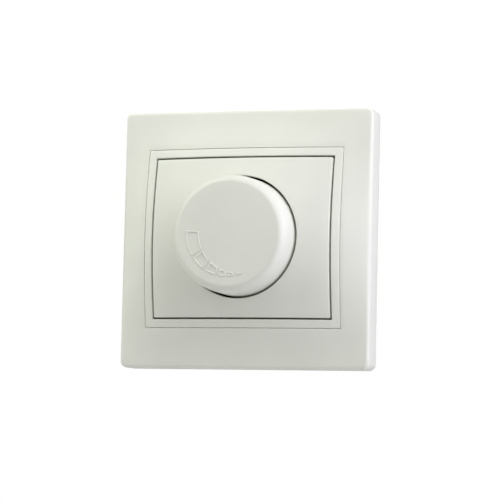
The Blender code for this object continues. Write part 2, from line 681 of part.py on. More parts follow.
def make_pot_case():
    """Drawn metal can, notched below where the track's pins come out."""
    bore, radius, wall, front, rear = BUSHING_RADIUS + GAP, 8.2, 0.5, -7.2, -0.2
    can = turned("pot_case", [(bore, front), (radius, front), (radius, rear),
                              (radius - wall, rear), (radius - wall, front + wall),
                              (bore, front + wall)], "zinc_steel")
    return cut(can, box("notch", around(0.0, 3.6), (-2.4, 0.5), (-9.0, -6.5), "zinc_steel"))


def make_pot_shaft():
    radius, tail_radius, front, step, end, chamfer = SHAFT_RADIUS, 2.2, -22.4, -5.0, 3.2, 0.4
    profile = [(0.0, front), (radius - chamfer, front), (radius, front + chamfer), (radius, step),
               (tail_radius, step), (tail_radius, end), (0.0, end)]
    shaft = turned("pot_shaft", profile, "zinc_steel")
    return cut(shaft, box("flat", around(0.0, 4.0), (front - 0.6, -13.4), (SHAFT_FLAT, 4.0),
                          "zinc_steel"))


def washer(name, bore, radius, span, slot):
    """A flat ring on the knob's axis."""
    low, high = span
    return turned(name, [(bore, low), (radius, low), (radius, high), (bore, high)], slot)


def make_potentiometer():
    make_pot_case()
    make_pot_bushing()
    washer("pot_washer", 4.8, 7.2, (-9.8, -9.3), "zinc_steel")
    hexagon_nut("pot_nut", 12.0, 4.8, (-12.1, -10.1), "brass")
    make_pot_shaft()
    wiper = washer("pot_wiper", 2.5, 6.6, (-4.6, -3.4), "phenolic")
    join(wiper, box("finger", around(0.0, 0.6), (-3.8, -2.5), (4.4, 6.2), "phenolic"))
    track = washer("pot_track", 2.6, 7.4, (-2.1, -1.1), "phenolic")
    for x in (-2.5, 0.0, 2.5):
        pin_x = around(x, 0.45)
        pin = box("pin", pin_x, (-1.8, -1.4), (-13.0, -6.0), "phenolic")
        leg = box("leg", pin_x, (-1.8, BOARD[0] - GAP), (-13.0, -12.5), "phenolic")
        join(track, join(pin, leg))


def make_off_switch():
    """Cup behind the potentiometer, the shaft's cam in it, and the contact that the cam lifts."""
    bore, radius, wall, front, rear = 2.6, 7.5, 0.5, 0.1, 4.7
    turned("switch_cup", [(bore, front), (radius, front), (radius, rear), (radius - wall, rear),
                          (radius - wall, front + 0.6), (bore, front + 0.6)], "phenolic")
    cam_y = (1.2, 2.8)
    cam = washer("switch_cam", 2.5, 4.0, cam_y, "terminal_grey")
    join(cam, box("nose", (3.6, 5.0), cam_y, around(0.0, 0.8), "terminal_grey"))
    line = [(-4.6, -5.0), (-5.4, -2.0), (-5.6, 2.0), (-4.9, 4.6)]
    loops = [[(x, y, z) for x, z in strip(line, 0.3)] for y in (1.4, 2.6)]
    skin_loops("switch_contact", loops, "copper_wire", closed=False)


# ---- circuit board and what is soldered to it ------------------------------------------------------------
def make_circuit_board():
    outline = chamfered(CASE_HALF[0] - CASE_WALL - 0.5, CASE_HALF[1] - CASE_WALL - 0.5,
                        BOARD_CHAMFER)
    prism("circuit_board", outline, BOARD, "board_laminate")


def make_heat_sink(screw_at):
    """Bent angle: the web carries the triac, the flange lies behind it."""
    width, rear, web_z, thickness = around(0.0, 10.5), 21.2, (16.9, 18.4), 1.5
    sink = box("heat_sink", width, (7.2, rear), web_z, "aluminium")
    join(sink, box("flange", width, (rear - thickness, rear), (9.0, web_z[0] + 0.6), "aluminium"))
    return cut(sink, rod("hole", SCREW_CLEARANCE, (16.0, 19.0), "aluminium", axis="Z",
                         at=screw_at))


def make_triac(screw_at):
    """Moulded body with a screwed tab and three leads bent down to the board."""
    lead_z, lead_half, lead_front = (13.6, 14.2), 0.4, BOARD[1] + GAP
    first_bend, bend_step, lead_width = 8.4, 1.5, 0.6
    triac = box("triac", (-2.3, 6.7), (9.0, 19.0), (12.1, 16.6), "epoxy_black", bevel=0.3)
    tab = box("tab", (-9.0, 0.0), (9.2, 18.8), (15.3, 16.5), "epoxy_black")
    join(triac, cut(tab, rod("hole", 1.9, (14.0, 18.0), "epoxy_black", axis="Z", at=screw_at)))
    for i, y in enumerate((11.5, 14.0, 16.5)):
        bend = first_bend + bend_step * i
        lead = box("lead", (6.0, bend), around(y, lead_half), lead_z, "epoxy_black")
        drop = box("drop", (bend - lead_width, bend), (lead_front, y + lead_half), lead_z,
                   "epoxy_black")
        join(triac, join(lead, drop))
    return triac


def make_triac_on_heat_sink():
    screw_at = (-5.6, 14.0)
    make_heat_sink(screw_at)
    make_triac(screw_at)
    head_radius, shank_radius, crown, low, seat, end = 2.6, 1.45, 0.6, 13.1, 15.0, 20.9
    profile = [(0.0, low), (head_radius - crown, low), (head_radius, low + 0.5),
               (head_radius, seat), (shank_radius, seat), (shank_radius, end), (0.0, end)]
    turned("triac_screw", profile, "zinc_steel", axis="Z", at=screw_at, segments=SMALL_ROUND)
    hexagon_nut("triac_nut", 5.5, shank_radius + GAP, (end - 2.2, end), "zinc_steel", axis="Z",
                at=screw_at)


def make_choke():
    """Drum core with its winding, whose turns show as ridges."""
    at = (-12.2, 2.5)
    flange, neck = 5.6, 3.0
    front, rear = BOARD[1] + GAP, 20.3
    core = [(0.0, front), (flange, front), (flange, 8.3), (neck, 8.3), (neck, rear - 1.4),
            (flange, rear - 1.4), (flange, rear), (0.0, rear)]
    turned("choke_core", core, "ferrite", at=at, segments=20)
    start, pitch, turns, bore, valley, crest = 8.7, 1.4, 7, neck + GAP, 4.7, 5.25
    winding = [(bore, start)]
    for turn in range(turns):
        winding += [(valley, start + pitch * turn), (crest, start + pitch * turn + pitch * 0.5)]
    winding += [(valley, start + pitch * turns), (bore, start + pitch * turns)]
    turned("choke_winding", winding, "copper_wire", at=at, segments=18)


def make_leaded(name, x, y, body_radius, span, slot):
    """An axial component along Z with its leads bent to the board."""
    low, high = span
    lead, reach, end_share, waist_share = 0.3, 1.6, 0.8, 0.85
    bulge, waist = (0.5, 1.4), 1.8
    lower = [(0.0, low), (body_radius * end_share, low), (body_radius, low + bulge[0]),
             (body_radius, low + bulge[1]), (body_radius * waist_share, low + waist)]
    upper = [(body_radius * waist_share, high - waist), (body_radius, high - bulge[1]),
             (body_radius, high - bulge[0]), (body_radius * end_share, high), (0.0, high)]
    body = turned(name, lower + upper, slot, axis="Z", at=(x, y), segments=10)
    wire_x = around(x, lead)
    wire = box("wire", wire_x, around(y, lead), (low - reach, high + reach), slot)
    for z in ((low - reach, low - reach + 2.0 * lead), (high + reach - 2.0 * lead, high + reach)):
        join(wire, box("bend", wire_x, (BOARD[1] + GAP, y + lead), z, slot))
    return join(body, wire)


def make_small_components():
    front = BOARD[1] + GAP
    box("suppression_capacitor", (-5.0, 1.5), (front, 18.0), (-6.0, 10.5), "film_yellow", bevel=0.5)
    box("timing_capacitor", (2.6, 9.6), (front, 13.5), (5.6, 9.0), "film_red", bevel=0.5)
    make_leaded("resistor_gate", 3.2, 8.7, 1.1, (-4.6, 2.2), "resistor_body")
    make_leaded("resistor_limit", 6.0, 8.7, 1.1, (-4.6, 2.2), "resistor_body")
    make_leaded("diac", 8.8, 8.5, 0.9, (-3.2, 0.8), "film_red")


def make_fuse():
    """Glass tube between two caps, each held by a bent clip."""
    x, y = 13.8, 11.0
    bore, radius, cap_radius, cap_wall, cap_length = 1.9, 2.3, 2.9, 0.3, 5.0
    tube = (-5.6, 11.0)
    turned("fuse_glass", [(bore, tube[0]), (radius, tube[0]), (radius, tube[1]), (bore, tube[1])],
           "glass", axis="Z", at=(x, y), segments=SMALL_ROUND)
    clip_reach, clip_front, clip_end = 3.4, 7.4, 13.2
    line = [(x - clip_reach, clip_end), (x - clip_reach, clip_front), (x + clip_reach, clip_front),
            (x + clip_reach, clip_end)]
    for name, end, direction in (("fuse_cap_lower", -7.0, 1.0), ("fuse_cap_upper", 12.4, -1.0)):
        mouth, floor = end + cap_length * direction, end + 0.5 * direction
        profile = [(0.0, end), (cap_radius, end), (cap_radius, mouth),
                   (cap_radius - cap_wall, mouth), (cap_radius - cap_wall, floor), (0.0, floor)]
        turned(name, profile, "zinc_steel", axis="Z", at=(x, y), segments=SMALL_ROUND)
        clip_z = around(end + cap_length / 2.0 * direction, 1.6)
        prism_z(name.replace("cap", "clip"), strip(line, 0.4), clip_z, "brass")


# ---- terminals ---------------------------------------------------------------------------------------------
def cut_terminal_cell(block, x):
    """Room in the terminal block for one clamp, its wire, its bar and its screw."""
    well_radius, seat, top = 2.6, -19.0, -17.0
    below = TERMINAL_BLOCK_Z[0] - 1.0
    well = [(0.0, below), (well_radius, below), (well_radius, seat),
            (TERMINAL_SCREW_RADIUS + 0.35, seat), (TERMINAL_SCREW_RADIUS + 0.35, top), (0.0, top)]
    cut(block, box("cell", around(x, 2.75), (13.2, 19.8), (-18.2, -8.2), "terminal_grey"),
        box("wire", around(x, WIRE_ENTRY_HALF), (19.0, 23.0), WIRE_ENTRY_Z, "terminal_grey"),
        box("bar_slot", around(x, 1.9), (9.5, 13.6), (-13.5, -12.1), "terminal_grey"),
        turned("well", well, "terminal_grey", axis="Z", at=(x, TERMINAL_Y), segments=SMALL_ROUND))


def make_terminal_cage(name, x):
    low, high = -15.4, -8.5
    cage = box(name, around(x, 2.45), around(TERMINAL_Y, 3.0), (low, high), "brass")
    cut(cage, box("way", around(x, 1.65), around(TERMINAL_Y, 4.0), (-13.9, -9.4), "brass"),
        rod("thread", TERMINAL_SCREW_RADIUS + GAP, (low - 1.0, -13.0), "brass", axis="Z",
            at=(x, TERMINAL_Y)))
    return set_origin(cage, x, TERMINAL_Y, low)


def make_terminal_screw(name, x):
    head_radius, low, seat, end, crown = 2.2, -20.9, -19.3, -13.5, 0.2
    profile = [(0.0, low), (head_radius - crown, low), (head_radius, low + crown),
               (head_radius, seat), (TERMINAL_SCREW_RADIUS, seat), (TERMINAL_SCREW_RADIUS, end),
               (0.0, end)]
    screw = turned(name, profile, "zinc_steel", axis="Z", at=(x, TERMINAL_Y),
                   segments=SMALL_ROUND)
    cut(screw, box("slot", around(x, 3.0), around(TERMINAL_Y, 0.35), (low - 0.6, low + 0.8),
                   "zinc_steel"))
    return set_origin(screw, x, TERMINAL_Y, -20.0)


def make_terminals():
    """Rising cage clamps: the screw turns in its shelf and draws the cage down on the bar."""
    block = box("terminal_block", around(0.0, 13.6), (10.5, 21.7), TERMINAL_BLOCK_Z,
                "terminal_grey")
    for number, x in enumerate(TERMINAL_X, start=1):
        cut_terminal_cell(block, x)
        make_terminal_cage(f"terminal_cage_{number}", x)
        make_terminal_screw(f"terminal_screw_{number}", x)
        box(f"terminal_bar_{number}", around(x, 1.3), (BOARD[1] + GAP, 19.3), (-13.2, -12.4),
            "brass")


def build():
    clear_scene()
    make_outer_frame()
    make_insert_trim()
    make_centre_plate()
    make_dimmer_knob()
    make_knob_spring()
    make_mounting_strap()
    for word, side in (("left", -1), ("right", 1)):
        make_claw(f"claw_{word}", side)
        make_claw_screw(f"claw_screw_{word}", side)
        make_claw_nut(f"claw_nut_{word}", side)
    make_housing_cover()
    make_housing_base()
    corners = ((-1, 1), (1, 1), (1, -1), (-1, -1))
    for number, (side_x, side_z) in enumerate(corners, start=1):
        make_cover_screw(f"cover_screw_{number}", (side_x * CASE_SCREW[0], side_z * CASE_SCREW[1]))
    make_potentiometer()
    make_off_switch()
    make_circuit_board()
    make_triac_on_heat_sink()
    make_choke()
    make_small_components()
    make_fuse()
    make_terminals()


build()
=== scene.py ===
# Looks of the flush-mounted rotary dimmer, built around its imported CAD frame.
#
# World: +X right and +Z up as seen from the room, -Y towards the viewer, the wall surface at Y = 0.
# Shapes are written in millimetres and turned into metres by MM.

import json
import math

import bmesh
import bpy
from mathutils import Matrix, Vector


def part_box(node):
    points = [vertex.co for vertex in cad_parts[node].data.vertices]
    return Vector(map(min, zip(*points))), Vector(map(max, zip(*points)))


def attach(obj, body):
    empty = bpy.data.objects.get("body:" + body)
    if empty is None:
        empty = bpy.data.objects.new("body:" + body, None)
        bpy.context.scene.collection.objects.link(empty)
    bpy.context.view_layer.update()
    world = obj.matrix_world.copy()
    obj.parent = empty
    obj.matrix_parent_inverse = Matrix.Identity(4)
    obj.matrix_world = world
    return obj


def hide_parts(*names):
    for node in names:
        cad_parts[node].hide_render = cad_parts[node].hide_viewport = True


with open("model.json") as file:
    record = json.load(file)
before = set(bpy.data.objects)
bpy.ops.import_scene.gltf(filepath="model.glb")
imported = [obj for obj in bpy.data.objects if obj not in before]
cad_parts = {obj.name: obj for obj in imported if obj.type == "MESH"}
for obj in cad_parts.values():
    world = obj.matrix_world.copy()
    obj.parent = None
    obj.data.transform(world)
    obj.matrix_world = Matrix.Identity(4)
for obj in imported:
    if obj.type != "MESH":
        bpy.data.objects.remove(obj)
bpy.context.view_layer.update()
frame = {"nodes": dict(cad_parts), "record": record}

MM = 0.001
WALL = "wall_unit"                      # the body that is fixed to the wall

# Front, in millimetres: the pillow surface and the half sizes of the outlines that lie on it.
PLATE_SIDE = 81.0
EDGE_HEIGHT = 9.1                       # height of the pillow above the wall, along its rim
DOME_RISE = 10.45                       # extra height at its middle
DOME_POWER_Z = 1.75                     # how the rise fades towards top and bottom
SKIN = 2.0                              # thickness of the moulded shells
FRAME_CORNER, FRAME_ROUND = 2.1, 1.1    # radius of the frame's corners and of its front edge
OPENING = (31.80, 28.10)
TRIM_OUTER = (31.69, 27.99)
TRIM_INNER = (29.15, 25.40)
COVER = (28.60, 24.85)
LEDGE = (27.6, 23.8)
LEDGE_FRONT, LEDGE_THICKNESS = -6.0, 1.4
SEAT_GAP = 0.3                          # between the ledge and what rests on it
HOLE_RADIUS = 19.08
COLLAR_REAR, COLLAR_WALL = -10.0, 1.5   # the collar behind the hole's edge

# Knob, in millimetres. Its crescent scale lies between a circle around the axis and an inner one.
KNOB_BASE, KNOB_TOP, KNOB_FACE_RADIUS = 18.5, 18.2, 15.7
KNOB_EDGE_DEPTH = 3.5                   # how far back the rounding of the knob's face runs
KNOB_FACE, KNOB_REAR, KNOB_WALL = -26.8, -11.0, 1.7
MARK_RADIUS, MARK_LINE, MARK_HEIGHT = 13.4, 0.6, 0.24
MARK_ROOT = 0.15                        # how deep the marks start below the knob's face
MARK_INNER_CENTRE, MARK_INNER_RADIUS = Vector((3.19, 0.24)), 12.27
MARK_SPANS = ((176, 212), (215, 236), (239, 255), (258, 269), (272, 280))   # fields, in degrees
MARK_DASH = (284, 292)

# Mechanism, in millimetres.
TERMINAL_X, TERMINAL_Y = (-9.0, 0.0, 9.0), 16.5
THREAD_PITCH, THREAD_DEPTH, THREAD_STEPS = 0.5, 0.24, 6             # steps are loops per turn
OVERCUT, TAPER_OVERCUT = 0.5, 0.6       # how far straight and tapered tools start outside


# ---- meshes ------------------------------------------------------------------------------------
def add_object(name, shape, smooth_angle=35.0):
    """Make an object from a bmesh in millimetres, with faces out and smooth shading."""
    bmesh.ops.recalc_face_normals(shape, faces=shape.faces)
    bmesh.ops.scale(shape, vec=(MM, MM, MM), verts=shape.verts)
    mesh = bpy.data.meshes.new(name)
    shape.to_mesh(mesh)
    shape.free()
    mesh.shade_smooth()
    mesh.set_sharp_from_angle(angle=math.radians(smooth_angle))
    piece = bpy.data.objects.new(name, mesh)
    bpy.context.scene.collection.objects.link(piece)
    return piece


def loft(shape, loops, closed=True):
    """Add a skin over point loops of equal length; closed joins the last to the first.

    Where it isn't closed, the first and the last loop are filled.
    """
    rows = [[shape.verts.new(point) for point in loop] for loop in loops]
    count = len(rows[0])
    pairs = list(zip(rows, rows[1:]))
    if closed:
        pairs.append((rows[-1], rows[0]))
    for near, far in pairs:
        for i in range(count):
            j = (i + 1) % count
            shape.faces.new((near[i], near[j], far[j], far[i]))
    if not closed:
        shape.faces.new(rows[0])
        shape.faces.new(list(reversed(rows[-1])))


def revolve(shape, profile, segments):
    """Add a body turned about Y from (radius, y) points that start and end on the axis."""
    turn = Matrix.Rotation(math.radians(-90.0), 3, "X")
    angles = [2.0 * math.pi * i / segments for i in range(segments)]
    rows = [[turn @ Vector((radius * math.cos(a), radius * math.sin(a), y)) for a in angles]
            for radius, y in profile[1:-1]]
    loft(shape, rows, closed=False)


def rounded_rectangle(half_x, half_z, corner, corner_steps=8, side_steps=36):
    """Points around a rectangle with round corners, the same count whatever its size."""
    points = []
    for quarter in range(4):
        sign_x = 1 if quarter in (0, 3) else -1
        sign_z = 1 if quarter in (0, 1) else -1
        centre = Vector((sign_x * (half_x - corner), sign_z * (half_z - corner)))
        for step in range(corner_steps + 1):
            angle = math.pi / 2.0 * (quarter + step / corner_steps)
            points.append(centre + corner * Vector((math.cos(angle), math.sin(angle))))
        sign_x, sign_z = (-sign_x, sign_z) if quarter in (0, 2) else (sign_x, -sign_z)
        centre = Vector((sign_x * (half_x - corner), sign_z * (half_z - corner)))
        following = centre + corner * Vector((math.cos(angle), math.sin(angle)))
        last = points[-1]
        points += [last.lerp(following, step / side_steps) for step in range(1, side_steps)]
    return points


def dome(x, z):
    """Height of the pillow surface above the wall."""
    across = max(0.0, 1.0 - (2.0 * x / PLATE_SIDE) ** 2)
    along = max(0.0, 1.0 - (2.0 * z / PLATE_SIDE) ** 2)
    return EDGE_HEIGHT + DOME_RISE * across * along ** DOME_POWER_Z


def on_dome(loop, below=0.0):
    """The loop's points on the pillow surface, or so far below it."""
    return [Vector((p.x, below - dome(p.x, p.y), p.y)) for p in loop]


def at_depth(loop, y):
    return [Vector((p.x, y, p.y)) for p in loop]


def between(near, far, t):
    return [a.lerp(b, t) for a, b in zip(near, far)]


def edge_round(outline, radius, steps):
    """Loops that round the edge of a surface on the dome; outline(inset) gives the outline."""
    loops = []
    for step in range(steps + 1):
        angle = math.pi / 2.0 * step / steps
        loops.append(on_dome(outline(radius * (1.0 - math.cos(angle))),
                             radius * (1.0 - math.sin(angle))))
    return loops


# ---- materials ---------------------------------------------------------------------------------
class Nodes:
    """Short names for building one material's node tree."""

    def __init__(self, name):
        self.material = bpy.data.materials.new(name)
        self.material.use_nodes = True
        self.tree = self.material.node_tree
        self.shader = self.tree.nodes["Principled BSDF"]
        self.place = self.add("ShaderNodeTexCoord").outputs["Object"]

    def add(self, kind, **settings):
        node = self.tree.nodes.new(kind)
        for key, value in settings.items():
            setattr(node, key, value)
        return node

    def link(self, source, target):
        self.tree.links.new(source, target)

    def noise(self, scale, detail=3.0, stretch=None):
        node = self.add("ShaderNodeTexNoise")
        node.inputs["Scale"].default_value = scale
        node.inputs["Detail"].default_value = detail
        node.inputs["Roughness"].default_value = 0.55
        source = self.place
        if stretch:
            mapping = self.add("ShaderNodeMapping")
            mapping.inputs["Scale"].default_value = stretch
            self.link(self.place, mapping.inputs["Vector"])
            source = mapping.outputs["Vector"]
        self.link(source, node.inputs["Vector"])
        return node.outputs["Fac"]

    def remap(self, value, low, high, start=0.3, end=0.7):
        """Spread the value's range from start to end over low to high."""
        node = self.add("ShaderNodeMapRange")
        for key, number in (("From Min", start), ("From Max", end), ("To Min", low),
                            ("To Max", high)):
            node.inputs[key].default_value = number
        self.link(value, node.inputs["Value"])
        return node.outputs["Result"]

    def mix(self, factor, first, second):
        node = self.add("ShaderNodeMix", data_type="RGBA")
        self.link(factor, node.inputs["Factor"])
        for socket, colour in ((node.inputs["A"], first), (node.inputs["B"], second)):
            if isinstance(colour, tuple):
                socket.default_value = (*colour, 1.0)
            else:
                self.link(colour, socket)
        return node.outputs["Result"]

    def worn_edges(self, base, rubbed, amount, reach=0.5):
        """Blend to a rubbed colour, in patches, within reach millimetres of an edge."""
        round_off = self.add("ShaderNodeBevel", samples=6)
        round_off.inputs["Radius"].default_value = reach * MM
        flat = self.add("ShaderNodeNewGeometry").outputs["Normal"]
        meeting = self.add("ShaderNodeVectorMath", operation="DOT_PRODUCT")
        self.link(round_off.outputs["Normal"], meeting.inputs[0])
        self.link(flat, meeting.inputs[1])
        edge = self.remap(meeting.outputs["Value"], amount, 0.0, start=0.80, end=0.985)
        patches = self.add("ShaderNodeMath", operation="MULTIPLY")
        self.link(edge, patches.inputs[0])
        rubbing = self.remap(self.noise(scale=420.0), 0.25, 1.0, start=0.35, end=0.6)
        self.link(rubbing, patches.inputs[1])
        return self.mix(patches.outputs["Value"], base, rubbed)

    def bump(self, height, strength, distance, under=None):
        """Relief of a depth in millimetres, on top of the relief under it."""
        node = self.add("ShaderNodeBump")
        node.inputs["Strength"].default_value = strength
        node.inputs["Distance"].default_value = distance * MM
        self.link(height, node.inputs["Height"])
        if under:
            self.link(under, node.inputs["Normal"])
        return node.outputs["Normal"]


def tint(colour, gain):
    """The colour, lighter or darker by a gain."""
    return tuple(min(1.0, channel * gain) for channel in colour)


def moulded(name, colour, rough, peel=0.10, grain=2600.0, spread=0.03, rubbed=None):
    """Injection-moulded plastic: faint flow clouds, fine skin texture, uneven gloss, dust specks."""
    nodes = Nodes(name)
    shader = nodes.shader
    clouds = nodes.remap(nodes.noise(scale=45.0, detail=2.0), 0.0, 1.0)
    base = nodes.mix(clouds, tint(colour, 1.0 - spread), tint(colour, 1.0 + spread * 0.5))
    specks = nodes.remap(nodes.noise(scale=5200.0, detail=1.0), 0.0, 0.25, start=0.70, end=0.80)
    base = nodes.mix(specks, base, tint(colour, gain=0.86))
    if rubbed:
        base = nodes.worn_edges(base, rubbed, amount=0.6)
    nodes.link(base, shader.inputs["Base Color"])
    gloss = nodes.remap(nodes.noise(scale=160.0, detail=4.0), rough - 0.05, rough + 0.05)
    nodes.link(gloss, shader.inputs["Roughness"])
    skin = nodes.bump(nodes.noise(grain, detail=2.0), peel, distance=0.02)
    wave = nodes.bump(nodes.noise(scale=110.0, detail=1.0), 0.05, distance=0.2, under=skin)
    nodes.link(wave, shader.inputs["Normal"])
    shader.inputs["Specular IOR Level"].default_value = 0.45
    return nodes.material


def plated(name, colour, rough, patch=None, brushed=(1.0, 1.0, 1.0)):
    """Plated or rolled metal: crystalline patches, drawing lines, dulled spots."""
    nodes = Nodes(name)
    shader = nodes.shader
    shader.inputs["Metallic"].default_value = 1.0
    spangle = nodes.add("ShaderNodeTexVoronoi", feature="SMOOTH_F1")
    spangle.inputs["Scale"].default_value = 900.0
    nodes.link(nodes.place, spangle.inputs["Vector"])
    cells = nodes.remap(spangle.outputs["Distance"], 0.0, 1.0, start=0.1, end=0.8)
    base = nodes.mix(cells, colour, tint(colour, gain=0.84))
    if patch:
        cloud = nodes.remap(nodes.noise(scale=260.0), 0.0, 0.75, start=0.45, end=0.65)
        base = nodes.mix(cloud, base, patch)
    base = nodes.worn_edges(base, tint(colour, gain=1.25), amount=0.7)
    nodes.link(base, shader.inputs["Base Color"])
    lines = nodes.noise(scale=1500.0, stretch=brushed)
    nodes.link(nodes.remap(lines, rough - 0.08, rough + 0.12), shader.inputs["Roughness"])
    nodes.link(nodes.bump(lines, 0.18, distance=0.03), shader.inputs["Normal"])
    return nodes.material


def laminate(name, colour, dark):
    """Phenolic paper board: fibre streaks and a resin sheen."""
    nodes = Nodes(name)
    fibres = nodes.noise(scale=900.0, detail=5.0, stretch=(1.0, 1.0, 6.0))
    base = nodes.mix(nodes.remap(fibres, 0.0, 1.0), colour, dark)
    nodes.link(base, nodes.shader.inputs["Base Color"])
    nodes.link(nodes.remap(fibres, 0.42, 0.62), nodes.shader.inputs["Roughness"])
    nodes.link(nodes.bump(fibres, 0.2, distance=0.03), nodes.shader.inputs["Normal"])
    return nodes.material


def clear_glass(name):
    """Glass with faint smears."""
    nodes = Nodes(name)
    shader = nodes.shader
    shader.inputs["Base Color"].default_value = (0.93, 0.97, 0.96, 1.0)
    shader.inputs["Transmission Weight"].default_value = 1.0
    shader.inputs["IOR"].default_value = 1.5
    smear = nodes.remap(nodes.noise(scale=400.0, detail=2.0), 0.02, 0.14)
    nodes.link(smear, shader.inputs["Roughness"])
    return nodes.material


IVORY = (0.790, 0.795, 0.735)
LOOKS = {                               # by finish: colours, roughness and what sets it apart
    "ivory_plastic": lambda name: moulded(name, IVORY, 0.40),
    # the knob's copy of the ivory, 1% darker: painted shade on the same moulding as the frame
    "knob_plastic": lambda name: moulded(name, tint(IVORY, 0.99), 0.38),
    # the centre plate's copy of the ivory, 2.5% darker: painted shade on the same moulding as the
    # frame
    "cover_plastic": lambda name: moulded(name, tint(IVORY, 0.975), 0.42),
    "dark_plastic": lambda name: moulded(name, (0.030, 0.030, 0.033), 0.50, peel=0.45, grain=1500.0,
                                         spread=0.12, rubbed=(0.085, 0.085, 0.09)),
    "zinc_steel": lambda name: plated(name, (0.66, 0.67, 0.69), 0.34, patch=(0.56, 0.57, 0.58),
                                      brushed=(1.0, 1.0, 0.15)),
    "yellow_zinc": lambda name: plated(name, (0.74, 0.62, 0.36), 0.32, patch=(0.70, 0.63, 0.45)),
    "spring_steel": lambda name: plated(name, (0.40, 0.41, 0.44), 0.28),
    "brass": lambda name: plated(name, (0.78, 0.60, 0.28), 0.30, patch=(0.66, 0.48, 0.24)),
    "aluminium": lambda name: plated(name, (0.76, 0.77, 0.78), 0.36, brushed=(0.1, 1.0, 1.0)),
    "board_laminate": lambda name: laminate(name, (0.40, 0.27, 0.11), (0.28, 0.18, 0.07)),
    "epoxy_black": lambda name: moulded(name, (0.022, 0.022, 0.024), 0.44, peel=0.3),
    "ferrite": lambda name: moulded(name, (0.065, 0.065, 0.07), 0.62, peel=0.6, grain=3200.0),
    "copper_wire": lambda name: plated(name, (0.72, 0.30, 0.12), 0.24),
    "film_yellow": lambda name: moulded(name, (0.78, 0.60, 0.10), 0.40),
    "film_red": lambda name: moulded(name, (0.42, 0.09, 0.05), 0.36),
    "resistor_body": lambda name: moulded(name, (0.70, 0.55, 0.36), 0.46),
    "glass": clear_glass,
    "terminal_grey": lambda name: moulded(name, (0.27, 0.28, 0.29), 0.48, peel=0.3),
    "phenolic": lambda name: laminate(name, (0.32, 0.17, 0.07), (0.20, 0.10, 0.04)),
}
MADE = {}


def look(slot):
    """The material of a finish, made on first use."""
    if slot not in MADE:
        MADE[slot] = LOOKS[slot](slot)
    return MADE[slot]


def settle(piece, slot, body, node, finish=None):
    """Give a finished piece its material and its body, and hide the CAD node that it stands for."""
    piece.data.materials.clear()
    piece.data.materials.append(look(finish or slot))
    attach(piece, body)
    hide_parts(node)


# ---- the moulded front -------------------------------------------------------------------------
def make_frame():
    """The pillow-shaped frame, one skin from its rear rim over the front and back inside."""
    half = PLATE_SIDE / 2.0
    least_corner, inner_corner, opening_corner, ledge_corner = 0.5, 1.2, 0.35, 0.4
    lip_round, lip_wall, rim_break, rim_depth = 0.18, 1.6, 0.2, 0.3
    side_foot = -3.0                    # where the straight side starts

    def outer(inset):
        return rounded_rectangle(half - inset, half - inset, max(least_corner, FRAME_CORNER - inset))

    def opening(inset):
        return rounded_rectangle(OPENING[0] + inset, OPENING[1] + inset, opening_corner + inset)

    ledge = rounded_rectangle(*LEDGE, ledge_corner)
    inner_wall = rounded_rectangle(half - SKIN, half - SKIN, inner_corner)
    inner_rim = rounded_rectangle(half - SKIN + rim_break, half - SKIN + rim_break,
                                  inner_corner + rim_break)
    behind = rounded_rectangle(OPENING[0] + lip_wall, OPENING[1] + lip_wall, 2.0 * ledge_corner)
    shoulder, lip = outer(FRAME_ROUND), opening(lip_round)
    ledge_rear = LEDGE_FRONT + LEDGE_THICKNESS
    rear_rim = ((0.25, 0.0), (0.05, -0.08), (0.0, -rim_depth), (0.0, side_foot))
    loops = [at_depth(outer(inset), y) for inset, y in rear_rim]
    loops += edge_round(outer, FRAME_ROUND, steps=7)
    loops += [on_dome(between(shoulder, lip, t)) for t in (0.2, 0.4, 0.6, 0.8)]
    loops += edge_round(opening, lip_round, steps=3)[::-1]
    loops += [at_depth(opening(0.0), LEDGE_FRONT), at_depth(ledge, LEDGE_FRONT),
              at_depth(ledge, ledge_rear), at_depth(behind, ledge_rear), on_dome(behind, SKIN)]
    loops += [on_dome(between(behind, inner_wall, t), SKIN) for t in (0.33, 0.66, 1.0)]
    loops += [at_depth(inner_wall, -rim_depth), at_depth(inner_rim, 0.0)]
    shape = bmesh.new()
    loft(shape, loops)
    settle(add_object("frame_shell", shape), "ivory_plastic", WALL, "outer_frame")


def make_trim():
    """The narrow ring between the frame and the centre plate."""
    outer_corner, inner_corner = 0.3, 0.25
    outer_round, inner_round = 0.22, 0.25

    def outer(inset):
        return rounded_rectangle(TRIM_OUTER[0] - inset, TRIM_OUTER[1] - inset, outer_corner)

    def inner(inset):
        return rounded_rectangle(TRIM_INNER[0] + inset, TRIM_INNER[1] + inset, inner_corner)

    rear = LEDGE_FRONT - SEAT_GAP
    loops = [at_depth(outer(0.0), rear)] + edge_round(outer, outer_round, steps=3)
    loops += [on_dome(between(outer(outer_round), inner(inner_round), t))
              for t in (0.25, 0.5, 0.75)]
    loops += edge_round(inner, inner_round, steps=3)[::-1]
    loops.append(at_depth(inner(0.0), rear))
    shape = bmesh.new()
    loft(shape, loops)
    settle(add_object("trim_ring", shape), "ivory_plastic", WALL, "insert_trim")


def add_snap_legs(shape):
    """Four hooked legs behind the centre plate, with softened edges."""
    inner, outer, catch = 21.9, 23.3, 24.1
    front, catch_end, end, taper = -11.6, 0.5, 1.9, 0.4
    hook = [(inner, front), (outer, front), (outer, 0.0), (catch, 0.0), (catch, catch_end),
            (outer - taper, end), (inner, end)]
    span_z, softening = (12.5, 17.5), 0.15
    legs = bmesh.new()
    for side_x in (-1, 1):
        for side_z in (-1, 1):
            loft(legs, [[Vector((side_x * x, y, side_z * z)) for x, y in hook] for z in span_z],
                 closed=False)
    bmesh.ops.recalc_face_normals(legs, faces=legs.faces)
    bmesh.ops.bevel(legs, geom=legs.edges, offset=softening, segments=2, profile=0.5,
                    affect="EDGES")
    mesh = bpy.data.meshes.new("legs")
    legs.to_mesh(mesh)
    legs.free()
    shape.from_mesh(mesh)
    bpy.data.meshes.remove(mesh)


